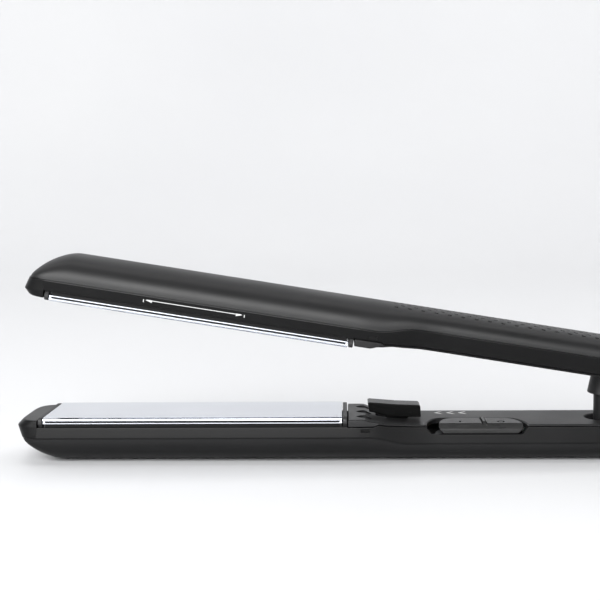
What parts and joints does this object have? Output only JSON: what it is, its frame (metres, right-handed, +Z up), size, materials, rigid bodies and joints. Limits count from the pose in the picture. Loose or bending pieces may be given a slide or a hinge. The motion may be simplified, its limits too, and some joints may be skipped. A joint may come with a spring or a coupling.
{
  "type": "flat iron",
  "caption": "Open hair straightener with hinged arms, floating mirror plates, soft-touch shells, sliding power switch, thumb lock, sprung handle and swivel cord gland.",
  "frame": {"origin": "centre of the bounding box's base, on the surface the lower arm lies on", "axes": "+X along the arms from the nose to the cord gland, +Z up, through the opening arm; -Y is the side with the power slider"},
  "size_m": [0.307, 0.035, 0.077],
  "materials": {
    "soft_shell": "soft-touch matte black with a fine grain",
    "housing": "satin black moulded plastic",
    "cover": "fine-grained black moulded plastic",
    "satin_black": "satin black moulded plastic",
    "gloss_black": "polished black plastic",
    "switch_grey": "semi-gloss dark grey plastic",
    "plate_finish": "polished mirror-like plate",
    "heat_plastic": "dark glass-filled heat-resistant plastic",
    "silicone": "matte red silicone rubber",
    "heater_ceramic": "off-white fired ceramic",
    "sensor_glass": "small amber bead",
    "board": "green circuit board",
    "capacitor_case": "yellow film capacitor case",
    "aluminium": "mill finish",
    "steel": "bright drawn steel",
    "brass": "turned brass",
    "washer_nylon": "natural nylon",
    "lead_sleeve": "silicone-insulated wire"
  },
  "bodies": {
    "lower_arm": {"lower_outer_shell": "soft_shell", "lower_inner_housing": "housing", "lower_handle_cover": "cover", "lower_cushion_front": "silicone", "lower_cushion_rear": "silicone", "lower_cover_screw_1": "steel", "lower_cover_screw_2": "steel", "lower_heater_lead": "lead_sleeve", "spring_post": "satin_black", "power_slider_track": "heat_plastic", "control_board": "board", "board_capacitor": "capacitor_case", "power_switch_body": "heat_plastic", "triac_heat_sink": "aluminium", "contact_brush_holder": "heat_plastic", "return_spring": "steel"},
    "upper_arm": {"upper_outer_shell": "soft_shell", "upper_inner_housing": "housing", "upper_handle_cover": "cover", "upper_cushion_front": "silicone", "upper_cushion_rear": "silicone", "upper_cover_screw_1": "steel", "upper_cover_screw_2": "steel", "upper_heater_lead": "lead_sleeve", "spring_cup": "satin_black", "hinge_pin": "steel", "hinge_cap_left": "gloss_black", "hinge_cap_right": "gloss_black", "hinge_washer_left": "washer_nylon", "hinge_washer_right": "washer_nylon"},
    "lower_plate_float": {"lower_plate": "plate_finish", "lower_heater": "heater_ceramic", "lower_plate_holder": "heat_plastic", "lower_plate_cap_front": "heat_plastic", "lower_plate_cap_rear": "heat_plastic", "lower_thermistor": "sensor_glass"},
    "upper_plate_float": {"upper_plate": "plate_finish", "upper_heater": "heater_ceramic", "upper_plate_holder": "heat_plastic", "upper_plate_cap_front": "heat_plastic", "upper_plate_cap_rear": "heat_plastic", "upper_thermistor": "sensor_glass"},
    "power_slider": {"power_slider": "switch_grey"},
    "lock_slider": {"lock_slider": "gloss_black"},
    "cord_swivel": {"cord_gland": "satin_black", "contact_sleeve": "brass"}
  },
  "joints": [
    {"name": "arm_hinge", "type": "hinge", "parent": "lower_arm", "child": "upper_arm", "pos_m": [0.1253, 0, 0.0175], "axis": [0, 1, 0], "range_deg": [-9.2, 0], "stiffness_Nm_per_rad": 2, "springref_deg": 9.17, "deforming": ["return_spring"]},
    {"name": "lower_plate_slide", "type": "slide", "parent": "lower_arm", "child": "lower_plate_float", "axis": [0, 0, -1], "range_m": [0, 0.0008], "stiffness_N_per_m": 2000, "springref_m": -0.0005, "deforming": ["lower_cushion_front", "lower_cushion_rear"]},
    {"name": "upper_plate_slide", "type": "slide", "parent": "upper_arm", "child": "upper_plate_float", "axis": [0.1613, 0, 0.9869], "range_m": [0, 0.0008], "stiffness_N_per_m": 2000, "springref_m": -0.0005, "deforming": ["upper_cushion_front", "upper_cushion_rear"]},
    {"name": "power_slide", "type": "slide", "parent": "lower_arm", "child": "power_slider", "axis": [-1, 0, 0], "range_m": [0, 0.0042]},
    {"name": "lock_slide", "type": "slide", "parent": "lower_arm", "child": "lock_slider", "axis": [-1, 0, 0], "range_m": [0, 0.004]},
    {"name": "swivel_turn", "type": "hinge", "parent": "lower_arm", "child": "cord_swivel", "pos_m": [0.14, 0, 0.0079], "axis": [1, 0, 0], "continuous": true}
  ]
}
